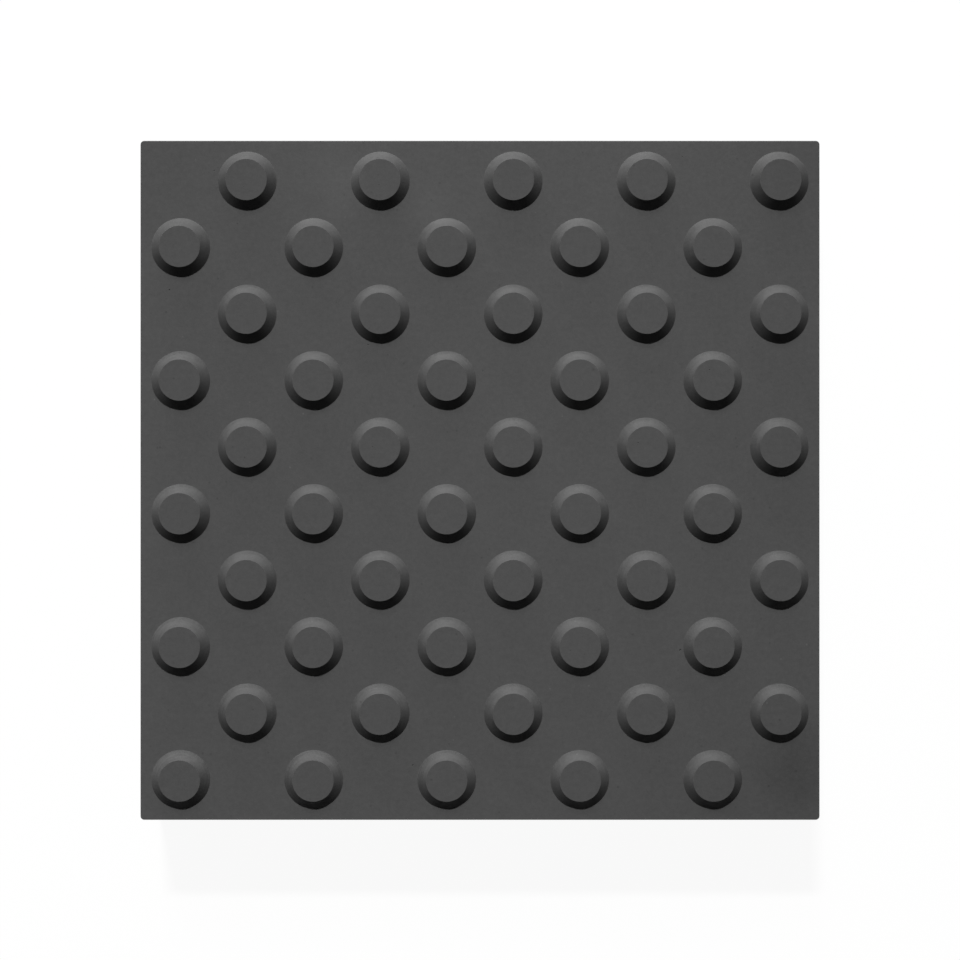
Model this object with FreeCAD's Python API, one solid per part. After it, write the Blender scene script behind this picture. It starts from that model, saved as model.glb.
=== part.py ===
import FreeCAD, Part
import math
import os

# A tactile paving slab, cast in one piece: a square flag whose walking face
# carries flat-topped warning studs in staggered rows. All sizes are in millimetres.
# The origin is the middle of the underside, and +Z points up through the studs.

# Flag
slab_side = 400.0
slab_thickness = 50.0
corner_radius = 2.2
arris_radius = 0.5

# Studs
stud_base_diameter = 34.6
stud_top_diameter = 24.2
stud_height = 5.0

# Staggered rows: neighbours in one row stand two row pitches apart
row_pitch = 39.15
least_edge_margin = 4.0

UP = FreeCAD.Vector(0, 0, 1)
SLACK = 1e-4  # lengths that differ by less count as equal


def upright_edges(solid):
    """The straight edges of a solid that run along Z."""
    edges = []
    for edge in solid.Edges:
        run = edge.Vertexes[-1].Point - edge.Vertexes[0].Point
        if run.cross(UP).Length < SLACK:
            edges.append(edge)
    return edges


def edges_at_height(solid, height):
    """The edges of a solid that lie wholly in the level plane at this height."""
    edges = []
    for edge in solid.Edges:
        box = edge.BoundBox
        if abs(box.ZMin - height) < SLACK and abs(box.ZMax - height) < SLACK:
            edges.append(edge)
    return edges


def flag():
    """The square body, with rounded upright corners and a fine arris round the walking face."""
    corner = FreeCAD.Vector(-slab_side / 2, -slab_side / 2, 0)
    body = Part.makeBox(slab_side, slab_side, slab_thickness, corner)
    body = body.makeFillet(corner_radius, upright_edges(body))
    return body.makeFillet(arris_radius, edges_at_height(body, slab_thickness))


def stud():
    """One stud turned about Z: a flat-topped cone standing on z = 0."""
    middle_of_base = FreeCAD.Vector(0, 0, 0)
    half_section = Part.makePolygon([
        middle_of_base,
        FreeCAD.Vector(stud_base_diameter / 2, 0, 0),
        FreeCAD.Vector(stud_top_diameter / 2, 0, stud_height),
        FreeCAD.Vector(0, 0, stud_height),
        middle_of_base,
    ])
    return Part.Face(half_section).revolve(middle_of_base, UP, 360)


def stud_centres():
    """Plan positions of the studs: every second place of a square grid, like one colour of a chessboard."""
    free_length = slab_side - stud_base_diameter - 2 * least_edge_margin
    rows = math.floor(free_length / row_pitch) + 1
    first = -row_pitch * (rows - 1) / 2
    centres = []
    for row in range(rows):
        for place in range(row % 2, rows, 2):
            centres.append(FreeCAD.Vector(first + place * row_pitch, first + row * row_pitch, slab_thickness))
    return centres


def studded_slab():
    """The whole slab as one solid: the flag with every stud grown out of its walking face."""
    one_stud = stud()
    studs = [one_stud.translated(centre) for centre in stud_centres()]
    return flag().fuse(studs).removeSplitter()


os.makedirs("parts", exist_ok=True)
tactile_slab = studded_slab()
tactile_slab.exportStep("parts/tactile_slab.step")
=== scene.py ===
import math
import random

import bpy
from mathutils import Euler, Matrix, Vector, geometry


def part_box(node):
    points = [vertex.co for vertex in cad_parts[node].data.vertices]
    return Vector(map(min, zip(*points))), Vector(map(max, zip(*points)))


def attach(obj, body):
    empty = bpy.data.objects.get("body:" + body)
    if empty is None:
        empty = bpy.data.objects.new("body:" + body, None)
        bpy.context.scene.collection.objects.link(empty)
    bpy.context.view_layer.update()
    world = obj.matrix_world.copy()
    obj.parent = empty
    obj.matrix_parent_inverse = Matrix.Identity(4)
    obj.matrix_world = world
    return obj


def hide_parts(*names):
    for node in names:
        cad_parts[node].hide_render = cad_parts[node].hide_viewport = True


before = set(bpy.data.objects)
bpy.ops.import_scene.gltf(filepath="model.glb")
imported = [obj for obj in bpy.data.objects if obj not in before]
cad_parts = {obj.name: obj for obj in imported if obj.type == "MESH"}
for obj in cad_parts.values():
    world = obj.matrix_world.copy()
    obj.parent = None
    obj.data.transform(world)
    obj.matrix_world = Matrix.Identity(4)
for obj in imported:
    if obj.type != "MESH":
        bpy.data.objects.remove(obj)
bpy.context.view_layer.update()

# Sizes of the slab in metres, in the frame's own axes
MM = 0.001
NODE = "tactile_slab"
LOW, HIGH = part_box(NODE)
SIDES = 4
SIDE = HIGH.x - LOW.x
HALF = SIDE / 2
STUD_HEIGHT = 5.0 * MM
STUD_BASE_RADIUS = 17.3 * MM
STUD_TOP_RADIUS = 12.1 * MM
ROW_PITCH = 39.15 * MM
ROWS = 10
FACE_Z = HIGH.z - STUD_HEIGHT
CORNER_RADIUS = 2.2 * MM
HALF_STRAIGHT = HALF - CORNER_RADIUS
ARRIS_RADIUS = 0.5 * MM
FOOT_RADIUS = 0.4 * MM
ROOT_ROUND = 0.35 * MM
RIM_ROUND = 0.3 * MM

# Painted shade on the studs, and marks that the mould left on them, as shares of the fullest. The shade is
# painted darkest at the head of each slope and lighter at its foot, where the studs in front already shade
# the low lamp, and a little on the tops, which catch that lamp unshadowed
SLOPE_FOOT_PAINTED_SHADE = 0.55
TOP_PAINTED_SHADE = 0.245
TURNING_SPREAD = (0.4, 1.0)
LEAST_TURNING = 0.35

# How finely the skin is divided
STUD_SEGMENTS = 96
ROUND_STEPS = 3
SLOPE_STEPS = 2
CORNER_STEPS = 6
SIDE_STEPS = 40
PIT_SEGMENTS = 12
GRID_STEP = 8.0 * MM
# Least gaps round the grid of a flat panel, in grid steps
GRID_RIM_GAP = 0.3
GRID_HOLE_GAP = 0.1
# Settings of the triangulation: it keeps what is inside the outline and joins points nearer than this in mm
INSIDE_OUTLINE = 1
JOINING_DISTANCE = 1e-6

# The slab in the photograph, in pixels of its 960 by 960 frame, and the lens that it was seen through
IMAGE_SIZE = 960
SLAB_IN_PHOTO = 679.3
SLAB_CENTRE_IN_PHOTO = (480.0, 480.3)
METRES_PER_PIXEL = SIDE / SLAB_IN_PHOTO
LENS_MM = 58.8
SENSOR_MM = 36.0

# Pinholes that show in the walking face: plan position and radius
PINHOLES = [
    (-182.8 * MM, 112.2 * MM, 0.40 * MM),
    (-66.0 * MM, 79.8 * MM, 0.34 * MM),
    (117.9 * MM, -100.0 * MM, 0.50 * MM),
    (-156.5 * MM, 182.4 * MM, 0.36 * MM),
    (-39.5 * MM, -167.8 * MM, 0.50 * MM),
]
# Pits strewn by chance: how many, and their least and greatest radius
FINE_PINHOLES = 45
FINE_PINHOLE_RADII = (0.08 * MM, 0.25 * MM)
SIDE_BLOWHOLES = 60
SIDE_BLOWHOLE_RADII = (0.12 * MM, 0.9 * MM)
STUD_PINHOLE_COUNTS = (0, 1, 1, 2)
STUD_PINHOLE_RADII = (0.1 * MM, 0.35 * MM)
STUD_PINHOLE_SPREAD = 0.62 * STUD_TOP_RADIUS
SEED = 40
# Form of a pit: its section as shares of radius and depth, and its depth, reach and stretch in radii
PIT_SECTION = [(1.0, 0.0), (0.82, 0.5), (0.5, 0.85)]
PIT_DEPTHS = (1.0, 1.6)
PIT_STRETCHES = (1.0, 1.4)
PIT_REACH = 1.6
PIT_GAP = 0.5 * MM
# The higher this power, the fewer large pits there are among the small ones
PIT_RARITY = 3

X_AXIS = Vector((1, 0, 0))
Y_AXIS = Vector((0, 1, 0))
Z_AXIS = Vector((0, 0, 1))
QUARTER_TURN = math.pi / 2
WALKING, EDGE, UNDERSIDE = range(3)


class Skin:
    """One closed surface: points with their normals, and faces that share those points."""

    def __init__(self):
        self.points = []
        self.normals = []
        self.turning = []
        self.burnish = []
        self.faces = []
        self.finishes = []

    def add(self, point, normal, turning=0.0, burnish=0.0):
        self.points.append(Vector(point))
        self.normals.append(Vector(normal).normalized())
        self.turning.append(turning)
        self.burnish.append(burnish)
        return len(self.points) - 1

    def face(self, corners, finish):
        self.faces.append(corners)
        self.finishes.append(finish)

    def band(self, inner, outer, finish):
        """Quads between two rings of as many points, that both turn left as seen from outside."""
        count = len(inner)
        for i in range(count):
            j = (i + 1) % count
            self.face((inner[i], outer[i], outer[j], inner[j]), finish)


class Panel:
    """A flat face of the slab in its own plane: where it is, which way it faces and how far it reaches."""

    def __init__(self, middle, across, up, half_across, half_up, finish, burnish=0.0):
        self.middle = middle
        self.across = across
        self.up = up
        self.outward = across.cross(up)
        self.half_across = half_across
        self.half_up = half_up
        self.finish = finish
        self.burnish = burnish
        self.taken = []

    def place(self, x, y):
        return self.middle + self.across * x + self.up * y

    def is_free(self, x, y, reach):
        return all(math.hypot(x - tx, y - ty) > reach + tr for tx, ty, tr in self.taken)

    def scatter(self, chance, count, radii):
        """Places and radii for more pits, clear of what is there; small ones are the commonest."""
        least, most = radii
        found = []
        while len(found) < count:
            radius = least + (most - least) * chance.random() ** PIT_RARITY
            reach = PIT_REACH * radius + PIT_GAP
            x = chance.uniform(reach - self.half_across, self.half_across - reach)
            y = chance.uniform(reach - self.half_up, self.half_up - reach)
            if self.is_free(x, y, reach):
                self.taken.append((x, y, reach))
                found.append((x, y, radius))
        return found

    def pit(self, skin, centre, radius, depth, stretch, turn):
        """A small round-bottomed oval hole; returns its rim, which the panel leaves open."""
        long_axis = self.across * math.cos(turn) + self.up * math.sin(turn)
        short_axis = self.outward.cross(long_axis)
        rings = []
        for width, sunk in PIT_SECTION:
            ring = []
            for i in range(PIT_SEGMENTS):
                angle = math.tau * i / PIT_SEGMENTS
                level = long_axis * math.cos(angle) * stretch + short_axis * math.sin(angle)
                normal = self.outward - level if sunk else self.outward
                point = centre + level * radius * width - self.outward * depth * sunk
                ring.append(skin.add(point, normal, burnish=self.burnish))
            rings.append(ring)
        for outer, inner in zip(rings, rings[1:]):
            skin.band(inner, outer, self.finish)
        bottom = skin.add(centre - self.outward * depth, self.outward, burnish=self.burnish)
        for i in range(PIT_SEGMENTS):
            skin.face((bottom, rings[-1][i], rings[-1][(i + 1) % PIT_SEGMENTS]), self.finish)
        return rings[0]

    def sink(self, skin, chance, places):
        """Sinks a slightly oval pit at each of these places; returns their rims."""
        rims = []
        for x, y, radius in places:
            depth = radius * chance.uniform(*PIT_DEPTHS)
            stretch = chance.uniform(*PIT_STRETCHES)
            turn = chance.uniform(0, math.pi)
            rims.append(self.pit(skin, self.place(x, y), radius, depth, stretch, turn))
        return rims

    def grid(self, skin):
        """Loose points on a square grid, clear of the holes, that keep the triangles shapely."""
        columns = math.floor(self.half_across / GRID_STEP - GRID_RIM_GAP)
        rows = math.floor(self.half_up / GRID_STEP - GRID_RIM_GAP)
        points = []
        for i in range(-columns, columns + 1):
            for j in range(-rows, rows + 1):
                x = i * GRID_STEP
                y = j * GRID_STEP
                if self.is_free(x, y, GRID_HOLE_GAP * GRID_STEP):
                    points.append(skin.add(self.place(x, y), self.outward, burnish=self.burnish))
        return points

    def flattened(self, point):
        """A point of the panel in its own plane, in millimetres."""
        return Vector((point.dot(self.across), point.dot(self.up))) / MM

    def close(self, skin, outline, holes):
        """Triangles over the panel inside its outline, which leave its convex holes open."""
        members = []
        edges = []
        loop_of = {}
        for number, loop in enumerate([outline] + holes):
            start = len(members)
            for i, index in enumerate(loop):
                edges.append((start + i, start + (i + 1) % len(loop)))
                loop_of[index] = number
            members += loop
        members += self.grid(skin)
        flat = [self.flattened(skin.points[member]) for member in members]
        places, _, triangles, origins, _, _ = geometry.delaunay_2d_cdt(
            flat, edges, [], INSIDE_OUTLINE, JOINING_DISTANCE
        )
        for triangle in triangles:
            a, b, c = (members[origins[t][0]] for t in triangle)
            loops = {loop_of.get(corner, 0) for corner in (a, b, c)}
            inside_hole = len(loops) == 1 and 0 not in loops
            if inside_hole:
                continue
            first, second, third = (places[t] for t in triangle)
            turns_left = (second - first).cross(third - first) > 0
            skin.face((a, b, c) if turns_left else (a, c, b), self.finish)


def stud_centres():
    """Plan positions of the studs: one colour of a chessboard, with studs in the corners -X -Y and +X +Y."""
    first = -ROW_PITCH * (ROWS - 1) / 2
    centres = []
    for row in range(ROWS):
        for place in range(row % 2, ROWS, 2):
            centres.append(Vector((first + place * ROW_PITCH, first + row * ROW_PITCH, FACE_Z)))
    return centres


def stud_section():
    """Rows of radius, height, lean of the normal and whether on the slope, from a stud's root to its rim."""
    slope = math.atan2(STUD_HEIGHT, STUD_BASE_RADIUS - STUD_TOP_RADIUS)
    root_reach = ROOT_ROUND * math.tan(slope / 2)
    rim_reach = RIM_ROUND * math.tan(slope / 2)
    section = []
    for i in range(ROUND_STEPS + 1):
        lean = slope * i / ROUND_STEPS
        radius = STUD_BASE_RADIUS + root_reach - ROOT_ROUND * math.sin(lean)
        section.append((radius, ROOT_ROUND * (1 - math.cos(lean)), lean, i == ROUND_STEPS))
    foot = Vector(section[-1][:2])
    head = Vector((STUD_TOP_RADIUS + rim_reach * math.cos(slope), STUD_HEIGHT - rim_reach * math.sin(slope)))
    for i in range(1, SLOPE_STEPS):
        between = foot.lerp(head, i / SLOPE_STEPS)
        section.append((between.x, between.y, slope, True))
    for i in range(ROUND_STEPS + 1):
        lean = slope * (1 - i / ROUND_STEPS)
        radius = STUD_TOP_RADIUS - rim_reach + RIM_ROUND * math.sin(lean)
        section.append((radius, STUD_HEIGHT - RIM_ROUND * (1 - math.cos(lean)), lean, i == 0))
    return section


def stud_ring(skin, centre, radius, height, lean, turning, burnish):
    """A level ring of points round a stud."""
    ring = []
    for i in range(STUD_SEGMENTS):
        angle = math.tau * i / STUD_SEGMENTS
        side = Vector((math.cos(angle), math.sin(angle), 0))
        normal = side * math.sin(lean) + Z_AXIS * math.cos(lean)
        ring.append(skin.add(centre + side * radius + Z_AXIS * height, normal, turning, burnish))
    return ring


def stud_painted_shade(height, on_slope):
    """How much shade is painted on a stud at this height: most at the head of the slope, less at its foot,
    less on the top.
    """
    if on_slope:
        return SLOPE_FOOT_PAINTED_SHADE + (1.0 - SLOPE_FOOT_PAINTED_SHADE) * height / STUD_HEIGHT
    if height > STUD_HEIGHT / 2:
        return TOP_PAINTED_SHADE
    return 0.0


def build_stud(skin, centre, chance):
    """One stud from its root to its flat top; returns the root ring, which the walking face leaves open."""
    from_corner = math.hypot(centre.x + HALF, centre.y + HALF) / SIDE
    turning = chance.uniform(*TURNING_SPREAD) * max(LEAST_TURNING, 1.0 - from_corner)
    rings = []
    for radius, height, lean, on_slope in stud_section():
        marks = turning if on_slope else 0.0
        burnish = stud_painted_shade(height, on_slope)
        rings.append(stud_ring(skin, centre, radius, height, lean, marks, burnish))
    for outer, inner in zip(rings, rings[1:]):
        skin.band(inner, outer, WALKING)
    spread = STUD_PINHOLE_SPREAD
    top = Panel(centre + Z_AXIS * STUD_HEIGHT, X_AXIS, Y_AXIS, spread, spread, WALKING, TOP_PAINTED_SHADE)
    pinholes = top.scatter(chance, chance.choice(STUD_PINHOLE_COUNTS), STUD_PINHOLE_RADII)
    top.close(skin, rings[-1], top.sink(skin, chance, pinholes))
    return rings[0]


def slab_ring(skin, inset, height, lean):
    """A level ring round the slab, set in from its sides: four rounded corners joined by straight runs."""
    quarter = []
    for i in range(CORNER_STEPS + 1):
        angle = QUARTER_TURN * i / CORNER_STEPS
        side = Vector((math.cos(angle), math.sin(angle), 0))
        quarter.append((Vector((HALF_STRAIGHT, HALF_STRAIGHT, 0)) + side * (CORNER_RADIUS - inset), side))
    for i in range(1, SIDE_STEPS):
        along = HALF_STRAIGHT * (1 - 2 * i / SIDE_STEPS)
        quarter.append((Vector((along, HALF - inset, 0)), Y_AXIS))
    ring = []
    for turns in range(SIDES):
        for place, side in quarter:
            for _ in range(turns):
                place = Z_AXIS.cross(place)
                side = Z_AXIS.cross(side)
            normal = side * math.sin(lean) + Z_AXIS * math.cos(lean)
            ring.append(skin.add(place + Z_AXIS * height, normal))
    return ring


def side_axes(number):
    """The way out of a side, and the way along it to the left hand of someone who looks out of it."""
    angle = QUARTER_TURN * (number + 1)
    outward = Vector((round(math.cos(angle)), round(math.sin(angle)), 0))
    return outward, Z_AXIS.cross(outward)


def build_side(skin, chance, number, upper, lower):
    """One rounded corner and the flat side after it, with its blowholes, between two rings round the slab."""
    start = number * (CORNER_STEPS + SIDE_STEPS)
    for i in range(start, start + CORNER_STEPS):
        skin.face((upper[i], lower[i], lower[i + 1], upper[i + 1]), EDGE)
    run = [(start + CORNER_STEPS + i) % len(upper) for i in range(SIDE_STEPS + 1)]
    outline = [lower[i] for i in run] + [upper[i] for i in reversed(run)]

    top = FACE_Z - ARRIS_RADIUS
    bottom = LOW.z + FOOT_RADIUS
    outward, along = side_axes(number)
    middle = outward * HALF + Z_AXIS * (top + bottom) / 2
    panel = Panel(middle, along, Z_AXIS, HALF_STRAIGHT, (top - bottom) / 2, EDGE)
    blowholes = panel.scatter(chance, SIDE_BLOWHOLES, SIDE_BLOWHOLE_RADII)
    panel.close(skin, outline, panel.sink(skin, chance, blowholes))


def build_edges(skin, chance):
    """The rounded arris, the four sides and the rounded foot; returns the top and bottom rims."""
    arris = []
    foot = []
    for i in range(ROUND_STEPS + 1):
        lean = QUARTER_TURN * i / ROUND_STEPS
        drop = ARRIS_RADIUS * (1 - math.cos(lean))
        arris.append(slab_ring(skin, ARRIS_RADIUS * (1 - math.sin(lean)), FACE_Z - drop, lean))
        lift = FOOT_RADIUS * (1 - math.sin(lean))
        foot.append(slab_ring(skin, FOOT_RADIUS * (1 - math.cos(lean)), LOW.z + lift, QUARTER_TURN + lean))
    for rings in (arris, foot):
        for above, below in zip(rings, rings[1:]):
            skin.band(above, below, EDGE)
    for number in range(SIDES):
        build_side(skin, chance, number, arris[-1], foot[0])
    return arris[0], foot[-1]


def build_walking_face(skin, rim, chance):
    """The studs and the flat between them, with its few pinholes."""
    panel = Panel(Z_AXIS * FACE_Z, X_AXIS, Y_AXIS, HALF_STRAIGHT, HALF_STRAIGHT, WALKING)
    roots = []
    for centre in stud_centres():
        roots.append(build_stud(skin, centre, chance))
        panel.taken.append((centre.x, centre.y, STUD_BASE_RADIUS + ROOT_ROUND))
    panel.taken += [(x, y, PIT_REACH * radius) for x, y, radius in PINHOLES]
    pinholes = PINHOLES + panel.scatter(chance, FINE_PINHOLES, FINE_PINHOLE_RADII)
    panel.close(skin, rim, roots + panel.sink(skin, chance, pinholes))


def build_underside(skin, rim):
    """The flat bedding face."""
    panel = Panel(Z_AXIS * LOW.z, -X_AXIS, Y_AXIS, HALF_STRAIGHT, HALF_STRAIGHT, UNDERSIDE)
    panel.close(skin, list(reversed(rim)), [])


# Layout of the map that the finish is baked through, as shares of its width
MAP_GAP = 0.006
TOP_SPAN = 0.78
STRIP_START = TOP_SPAN + 2 * MAP_GAP
UNDERSIDE_SPAN = 1 - STRIP_START - MAP_GAP
# A little over 1, so that the ends of a round count as part of it
ROUND_SLACK = 1.001


def side_of(point):
    """The number of the side that a point is nearest to."""
    return max(range(SIDES), key=lambda number: point.dot(side_axes(number)[0]))


def strip_place(point, number):
    """A point of a side on the map: along the side, and up it with the rounds unrolled."""
    outward, along = side_axes(number)
    scale = TOP_SPAN / SIDE
    inset = HALF - point.dot(outward)
    height = point.z - LOW.z + FOOT_RADIUS
    if point.z > FACE_Z - ROUND_SLACK * ARRIS_RADIUS:
        height += inset
    elif point.z < LOW.z + ROUND_SLACK * FOOT_RADIUS:
        height -= inset
    strip_width = (FACE_Z - LOW.z + ARRIS_RADIUS + FOOT_RADIUS) * scale
    run = MAP_GAP + (point.dot(along) + HALF) * scale
    rise = STRIP_START + (number // 2) * (strip_width + MAP_GAP) + height * scale
    return (run, rise) if number % 2 else (rise, run)


def add_bake_map(mesh, skin):
    """Lays out the walking face as one square, the sides as strips beside it, the underside in the corner."""
    layer = mesh.uv_layers.new(name="OFBake")
    for polygon in mesh.polygons:
        finish = skin.finishes[polygon.index]
        number = side_of(polygon.center) if finish == EDGE else None
        for loop in polygon.loop_indices:
            point = skin.points[mesh.loops[loop].vertex_index]
            across = (point.x + HALF) / SIDE
            up = (point.y + HALF) / SIDE
            if finish == WALKING:
                place = (MAP_GAP + across * TOP_SPAN, MAP_GAP + up * TOP_SPAN)
            elif finish == EDGE:
                place = strip_place(point, number)
            else:
                place = (STRIP_START + (1 - across) * UNDERSIDE_SPAN, STRIP_START + up * UNDERSIDE_SPAN)
            layer.data[loop].uv = place


def build_slab():
    """The whole slab as one closed mesh."""
    chance = random.Random(SEED)
    skin = Skin()
    top_rim, bottom_rim = build_edges(skin, chance)
    build_walking_face(skin, top_rim, chance)
    build_underside(skin, bottom_rim)

    mesh = bpy.data.meshes.new("cast_slab")
    mesh.from_pydata(skin.points, [], skin.faces)
    mesh.shade_smooth()
    mesh.polygons.foreach_set("material_index", skin.finishes)
    mesh.attributes.new("turning", "FLOAT", "POINT").data.foreach_set("value", skin.turning)
    # Each point carries the share of painted shade on the studs
    mesh.attributes.new("burnish", "FLOAT", "POINT").data.foreach_set("value", skin.burnish)
    mesh.normals_split_custom_set_from_vertices(skin.normals)
    add_bake_map(mesh, skin)
    slab = bpy.data.objects.new("cast_slab", mesh)
    bpy.context.scene.collection.objects.link(slab)
    return slab


# Noise of the finishes: how many finer layers it has, and how strong each is beside the one before
NOISE_DETAIL = 3.0
NOISE_ROUGHNESS = 0.55


class Nodes:
    """Short ways to add and join the nodes of one material or world."""

    def __init__(self, owner):
        owner.use_nodes = True
        self.tree = owner.node_tree
        self.tree.nodes.clear()

    def add(self, kind, inputs=(), **settings):
        """A node with these settings, whose named or numbered inputs are set or linked."""
        node = self.tree.nodes.new(kind)
        for name, value in settings.items():
            setattr(node, name, value)
        for name, value in dict(inputs).items():
            if isinstance(value, bpy.types.NodeSocket):
                self.tree.links.new(value, node.inputs[name])
            else:
                node.inputs[name].default_value = value
        return node

    def math(self, operation, *values):
        return self.add("ShaderNodeMath", enumerate(values), operation=operation).outputs[0]

    def vector_math(self, operation, *values):
        return self.add("ShaderNodeVectorMath", enumerate(values), operation=operation).outputs

    def attribute(self, name):
        """A number that each point of the mesh carries."""
        return self.add("ShaderNodeAttribute", attribute_name=name).outputs["Fac"]

    def noise(self, place, size, detail=NOISE_DETAIL):
        """A noise with blotches of about this size, from 0 to 1 with a mean of a half."""
        inputs = {"Vector": place, "Scale": 1.0 / size, "Detail": detail, "Roughness": NOISE_ROUGHNESS}
        return self.add("ShaderNodeTexNoise", inputs).outputs

    def wave(self, place, size):
        """The same noise about a mean of zero."""
        return self.math("SUBTRACT", self.noise(place, size)["Fac"], 0.5)

    def fade(self, value, near, far, at_near, at_far):
        """Goes smoothly from one number to another as a value goes from near to far."""
        inputs = {"Value": value, "From Min": near, "From Max": far, "To Min": at_near, "To Max": at_far}
        return self.add("ShaderNodeMapRange", inputs, interpolation_type="SMOOTHSTEP").outputs["Result"]

    def seen_directly(self):
        """1 for the rays that show the backdrop: from the camera, in gloss and through glass."""
        path = self.add("ShaderNodeLightPath").outputs
        camera_or_gloss = self.math("MAXIMUM", path["Is Camera Ray"], path["Is Glossy Ray"])
        return self.math("MAXIMUM", camera_or_gloss, path["Is Transmission Ray"])

    def mix(self, factor, first, second):
        return self.add("ShaderNodeMixShader", {0: factor, 1: first, 2: second}).outputs[0]


# Tone of the concrete
CONCRETE_GREY = 0.074
# How much darker the painted shade on the studs makes the tone at its fullest
PAINTED_SHADE_DARKENING = 0.21
STREAK_LENGTH = 10.0 * MM
STREAK_WIDTH = 0.9 * MM
STREAK_CONTRAST = 0.7
# Blotch sizes and how far each shifts the tone
FACE_BLOTCHES = [(80 * MM, 0.04), (16 * MM, 0.05), (6 * MM, 0.14), (2.5 * MM, 0.27), (1.0 * MM, 0.22)]
EDGE_BLOTCHES = [(60 * MM, 0.26), (15 * MM, 0.22), (4 * MM, 0.20), (1.2 * MM, 0.28)]
UNDERSIDE_BLOTCHES = [(60 * MM, 0.25), (12 * MM, 0.25), (3 * MM, 0.25), (1.0 * MM, 0.25)]
# Clouds in the walking face: plan position, reach and change of tone. The small dark one near the +X -Y
# corner and the three small pale ones near the far edge are stains. The broad ones are painted light and
# shade, paler in the middle and darker towards +X and at the far corners; the broad dark one at the +X -Y
# corner is partly stain, partly painted shade
STAINS_AND_PAINTED_LIGHT = [
    (190 * MM, -172 * MM, 34 * MM, -0.15),
    (205 * MM, -205 * MM, 165 * MM, -0.12),
    (235 * MM, 10 * MM, 130 * MM, -0.08),
    (225 * MM, 205 * MM, 130 * MM, -0.13),
    (-215 * MM, 215 * MM, 130 * MM, -0.10),
    (20 * MM, 20 * MM, 160 * MM, 0.045),
    (-86 * MM, 177 * MM, 26 * MM, 0.11),
    (-30 * MM, 162 * MM, 24 * MM, 0.08),
    (41 * MM, 127 * MM, 22 * MM, 0.05),
]
CLOUD_WANDER_SIZE = 40 * MM
CLOUD_RAGGEDNESS = 30 * MM
# Specks of soot and of sand: spacing, radius, share of places that have one, and change of tone
SPECKS = [
    (5.0 * MM, 0.9 * MM, 0.35, -1.0),
    (8.0 * MM, 0.7 * MM, 0.15, 2.0),
]
SPECK_CORE = 0.4

# Skin of the concrete: its grain, its gentle waves, and how its sheen wanders
GRAIN_SIZE = 0.45 * MM
GRAIN_DETAIL = 2.0
WAVE_SIZE = 5.0 * MM
WAVE_HEIGHT = 3.0
SHEEN_SIZE = 9 * MM
ROUGHNESS_SPREAD = 0.16
LEAST_ROUGHNESS = 0.42
SPECULAR_LEVEL = 0.035


def mottled(nodes, place, blotches):
    """A tone of about 1 that wanders at several sizes of blotch."""
    tone = 1.0
    for size, strength in blotches:
        tone = nodes.math("MULTIPLY_ADD", nodes.wave(place, size), strength, tone)
    return tone


def stained_and_light_painted(nodes, place, tone):
    """The tone with paler and darker clouds at their places on the walking face: small stains, and broad
    painted light and shade.
    """
    wander = nodes.noise(place, CLOUD_WANDER_SIZE)["Color"]
    raggedness = (CLOUD_RAGGEDNESS, CLOUD_RAGGEDNESS, 0.0)
    ragged = nodes.vector_math("MULTIPLY_ADD", wander, raggedness, place)["Vector"]
    half_way = CLOUD_RAGGEDNESS / 2
    for x, y, reach, change in STAINS_AND_PAINTED_LIGHT:
        centre = (x + half_way, y + half_way, FACE_Z)
        gap = nodes.vector_math("DISTANCE", ragged, centre)["Value"]
        tone = nodes.math("ADD", tone, nodes.fade(gap, 0.0, reach, change, 0.0))
    return tone


def with_painted_shade(nodes, tone):
    """The tone a little darker on the studs, most of all on the slopes: painted shade that stands in for the
    shading of the stud sides.
    """
    burnish = nodes.attribute("burnish")
    return nodes.math("MULTIPLY", tone, nodes.math("MULTIPLY_ADD", burnish, -PAINTED_SHADE_DARKENING, 1.0))


def streaked(nodes, place, tone):
    """The tone with fine level streaks round the slopes, left by a turned mould."""
    flattening = (1.0, 1.0, STREAK_LENGTH / STREAK_WIDTH)
    drawn_out = nodes.vector_math("MULTIPLY", place, flattening)["Vector"]
    strength = nodes.math("MULTIPLY", nodes.attribute("turning"), STREAK_CONTRAST)
    streak = nodes.math("MULTIPLY", nodes.wave(drawn_out, STREAK_LENGTH), strength)
    return nodes.math("MULTIPLY_ADD", tone, streak, tone)


def speckled(nodes, place, tone, spacing, radius, share, change):
    """The tone with specks: one in some of the cells of a loose grid."""
    cells = nodes.add("ShaderNodeTexVoronoi", {"Vector": place, "Scale": 1.0 / spacing}).outputs
    lot = nodes.add("ShaderNodeSeparateColor", {"Color": cells["Color"]}).outputs
    chosen = nodes.math("LESS_THAN", lot["Red"], share)
    strength = nodes.math("MULTIPLY", nodes.math("MULTIPLY", lot["Green"], change), chosen)
    spot = nodes.fade(cells["Distance"], SPECK_CORE * radius / spacing, radius / spacing, 1.0, 0.0)
    return nodes.math("MULTIPLY_ADD", spot, strength, tone)


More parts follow.
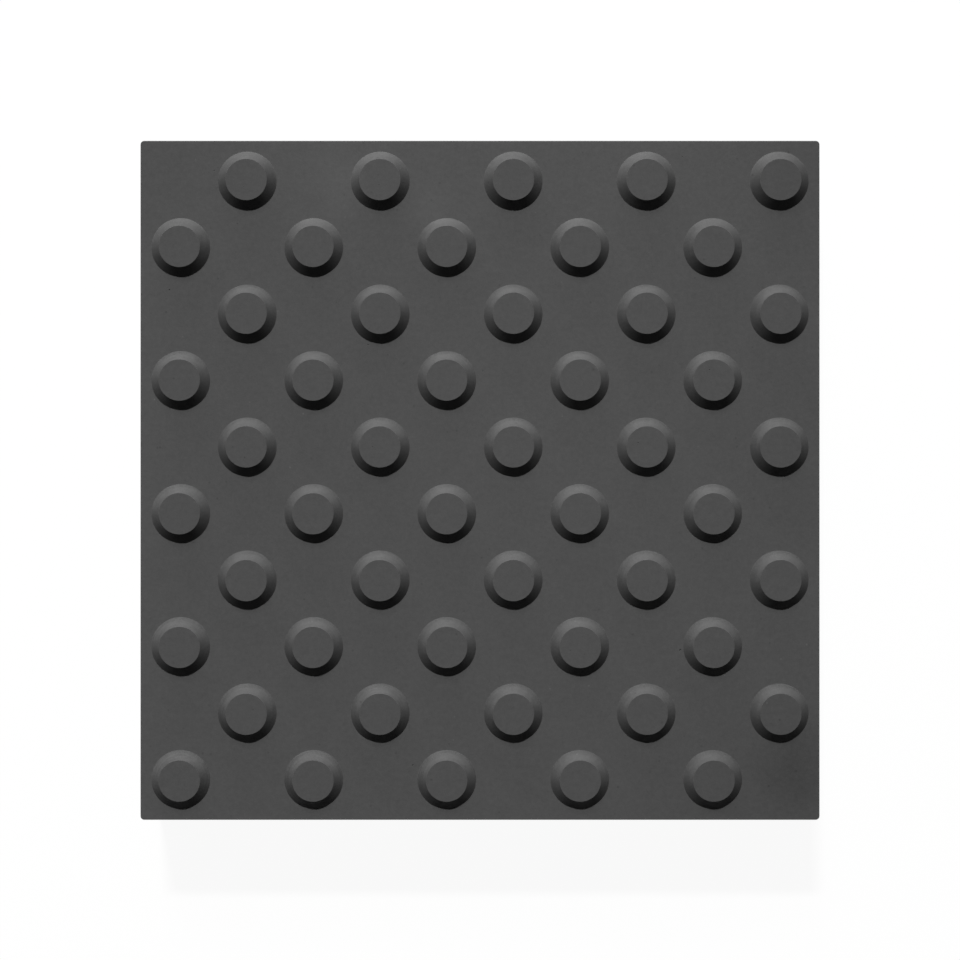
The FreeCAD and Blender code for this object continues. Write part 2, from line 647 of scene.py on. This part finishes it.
def concrete(name, blotches, lightness, relief_depth, speck_strength, has_studs=False):
    """Charcoal-pigmented cast concrete: faint clouds, some of them stains and some painted light and shade,
    finer mottling, sand grain and a satin paste skin; on the walking face, painted shade on the studs.
    """
    material = bpy.data.materials.new(name)
    nodes = Nodes(material)
    place = nodes.add("ShaderNodeTexCoord").outputs["Object"]
    tone = mottled(nodes, place, blotches)
    if has_studs:
        tone = stained_and_light_painted(nodes, place, tone)
        tone = with_painted_shade(nodes, tone)
        tone = streaked(nodes, place, tone)
    for spacing, radius, share, change in SPECKS:
        tone = speckled(nodes, place, tone, spacing, radius, share, change * speck_strength)
    grey = nodes.math("MULTIPLY", tone, CONCRETE_GREY * lightness)
    colour = nodes.add("ShaderNodeCombineColor", {0: grey, 1: grey, 2: grey}).outputs["Color"]

    grain = nodes.noise(place, GRAIN_SIZE, GRAIN_DETAIL)["Fac"]
    waves = nodes.noise(place, WAVE_SIZE)["Fac"]
    relief = nodes.math("MULTIPLY_ADD", waves, WAVE_HEIGHT, grain)
    bump = nodes.add("ShaderNodeBump", {"Distance": relief_depth, "Height": relief}).outputs["Normal"]
    sheen = nodes.noise(place, SHEEN_SIZE)["Fac"]
    shader = nodes.add("ShaderNodeBsdfPrincipled", {
        "Base Color": colour,
        "Roughness": nodes.math("MULTIPLY_ADD", sheen, ROUGHNESS_SPREAD, LEAST_ROUGHNESS),
        "Specular IOR Level": SPECULAR_LEVEL,
        "Normal": bump,
    })
    nodes.add("ShaderNodeOutputMaterial", {"Surface": shader.outputs["BSDF"]})
    return material


# Floor, backdrop and lamps
WHITE = (1.0, 1.0, 1.0, 1.0)
FLOOR_COLOUR = (0.8, 0.8, 0.8, 1.0)
FLOOR_REACH = 0.4
# How far the floor that is seen is plain white, with the rest left to show the slab's shadow
FLOOR_WHITENESS = 0.94
WORLD_FILL = 0.012
# The light comes from beyond the far edge, a little to the left; degrees from +X towards +Y
LIGHT_AZIMUTH = 98.5
# Weak strips of light on the floor: too low to reach the walking face
CARD_REACH = 100 * MM
CARD_LIFT = 1.0 * MM
CARD_LEVEL = 0.65


def build_floor():
    """A plain white floor that keeps a faint shadow of the slab."""
    material = bpy.data.materials.new("pale_floor")
    nodes = Nodes(material)
    lit = nodes.add("ShaderNodeBsdfDiffuse", {"Color": FLOOR_COLOUR}).outputs[0]
    shaded = nodes.add("ShaderNodeBsdfDiffuse", {"Color": WHITE}).outputs[0]
    white = nodes.add("ShaderNodeEmission", {"Color": WHITE, "Strength": 1.0}).outputs[0]
    shown = nodes.mix(FLOOR_WHITENESS, shaded, white)
    nodes.add("ShaderNodeOutputMaterial", {"Surface": nodes.mix(nodes.seen_directly(), lit, shown)})

    corners = [(x * FLOOR_REACH, y * FLOOR_REACH, LOW.z) for x, y in ((-1, -1), (1, -1), (1, 1), (-1, 1))]
    mesh = bpy.data.meshes.new("floor")
    mesh.from_pydata(corners, [], [(0, 1, 2, 3)])
    mesh.materials.append(material)
    floor = bpy.data.objects.new("floor", mesh)
    bpy.context.scene.collection.objects.link(floor)


def build_world():
    """White where the world shows, and a weak even fill light from it."""
    world = bpy.data.worlds.new("studio")
    bpy.context.scene.world = world
    nodes = Nodes(world)
    dim = nodes.add("ShaderNodeBackground", {"Color": WHITE, "Strength": WORLD_FILL}).outputs[0]
    white = nodes.add("ShaderNodeBackground", {"Color": WHITE, "Strength": 1.0}).outputs[0]
    nodes.add("ShaderNodeOutputWorld", {"Surface": nodes.mix(nodes.seen_directly(), dim, white)})


def area_lamp(name, place, turn, width, height, power):
    """A rectangular lamp that the camera doesn't see."""
    light = bpy.data.lights.new(name, "AREA")
    light.shape = "RECTANGLE"
    light.size = width
    light.size_y = height
    light.energy = power
    lamp = bpy.data.objects.new(name, light)
    lamp.location = place
    lamp.rotation_mode = "QUATERNION"
    lamp.rotation_quaternion = turn
    lamp.visible_camera = False
    bpy.context.scene.collection.objects.link(lamp)


def softbox(name, elevation, distance, width, height, level):
    """A lamp that faces the slab; at level 1, a surface square to it shows its colour as it is written."""
    turn = math.radians(LIGHT_AZIMUTH)
    rise = math.radians(elevation)
    away = Vector((math.cos(turn) * math.cos(rise), math.sin(turn) * math.cos(rise), math.sin(rise)))
    place = Z_AXIS * FACE_Z + away * distance
    power = level * math.pi ** 2 * distance ** 2
    area_lamp(name, place, away.to_track_quat("Z", "Y"), width, height, power)


def bounce_card(number):
    """A strip that lies on the floor beside one side, shines upwards and lifts that side out of the dark."""
    outward, along = side_axes(number)
    place = outward * (HALF + CARD_REACH / 2) + Z_AXIS * (LOW.z + CARD_LIFT)
    turn = Euler((math.pi, 0.0, math.atan2(along.y, along.x))).to_quaternion()
    power = CARD_LEVEL * math.pi * SIDE * CARD_REACH
    area_lamp(f"bounce_{number}", place, turn, SIDE, CARD_REACH, power)


def build_camera():
    """Straight above the walking face, as far off as the photograph's size of the slab asks."""
    camera = bpy.data.cameras.new("camera")
    camera.sensor_width = SENSOR_MM
    camera.lens = LENS_MM
    right = (IMAGE_SIZE / 2 - SLAB_CENTRE_IN_PHOTO[0]) * METRES_PER_PIXEL
    back = (SLAB_CENTRE_IN_PHOTO[1] - IMAGE_SIZE / 2) * METRES_PER_PIXEL
    distance = METRES_PER_PIXEL * IMAGE_SIZE * LENS_MM / SENSOR_MM
    eye = bpy.data.objects.new("camera", camera)
    eye.location = (right, back, FACE_Z + distance)
    bpy.context.scene.collection.objects.link(eye)
    bpy.context.scene.camera = eye


slab = build_slab()
# The materials go on in the order of the numbers of the finishes
slab.data.materials.append(concrete(
    "walking_face", FACE_BLOTCHES, lightness=1.0, relief_depth=0.02 * MM, speck_strength=0.19, has_studs=True
))
slab.data.materials.append(concrete(
    "cast_edge", EDGE_BLOTCHES, lightness=1.05, relief_depth=0.08 * MM, speck_strength=0.25
))
slab.data.materials.append(concrete(
    "cast_underside", UNDERSIDE_BLOTCHES, lightness=1.15, relief_depth=0.25 * MM, speck_strength=0.30
))
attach(slab, "root")
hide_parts(NODE)

build_floor()
build_world()
softbox("key", elevation=41.6, distance=12.0, width=1.6, height=0.6, level=1.23)
softbox("halo", elevation=31.0, distance=8.0, width=1.6, height=1.4, level=0.21)
softbox("low_strip", elevation=3.7, distance=6.0, width=6.0, height=0.2, level=1.38)
for number in range(SIDES):
    bounce_card(number)
build_camera()
bpy.context.scene.view_settings.view_transform = "Standard"
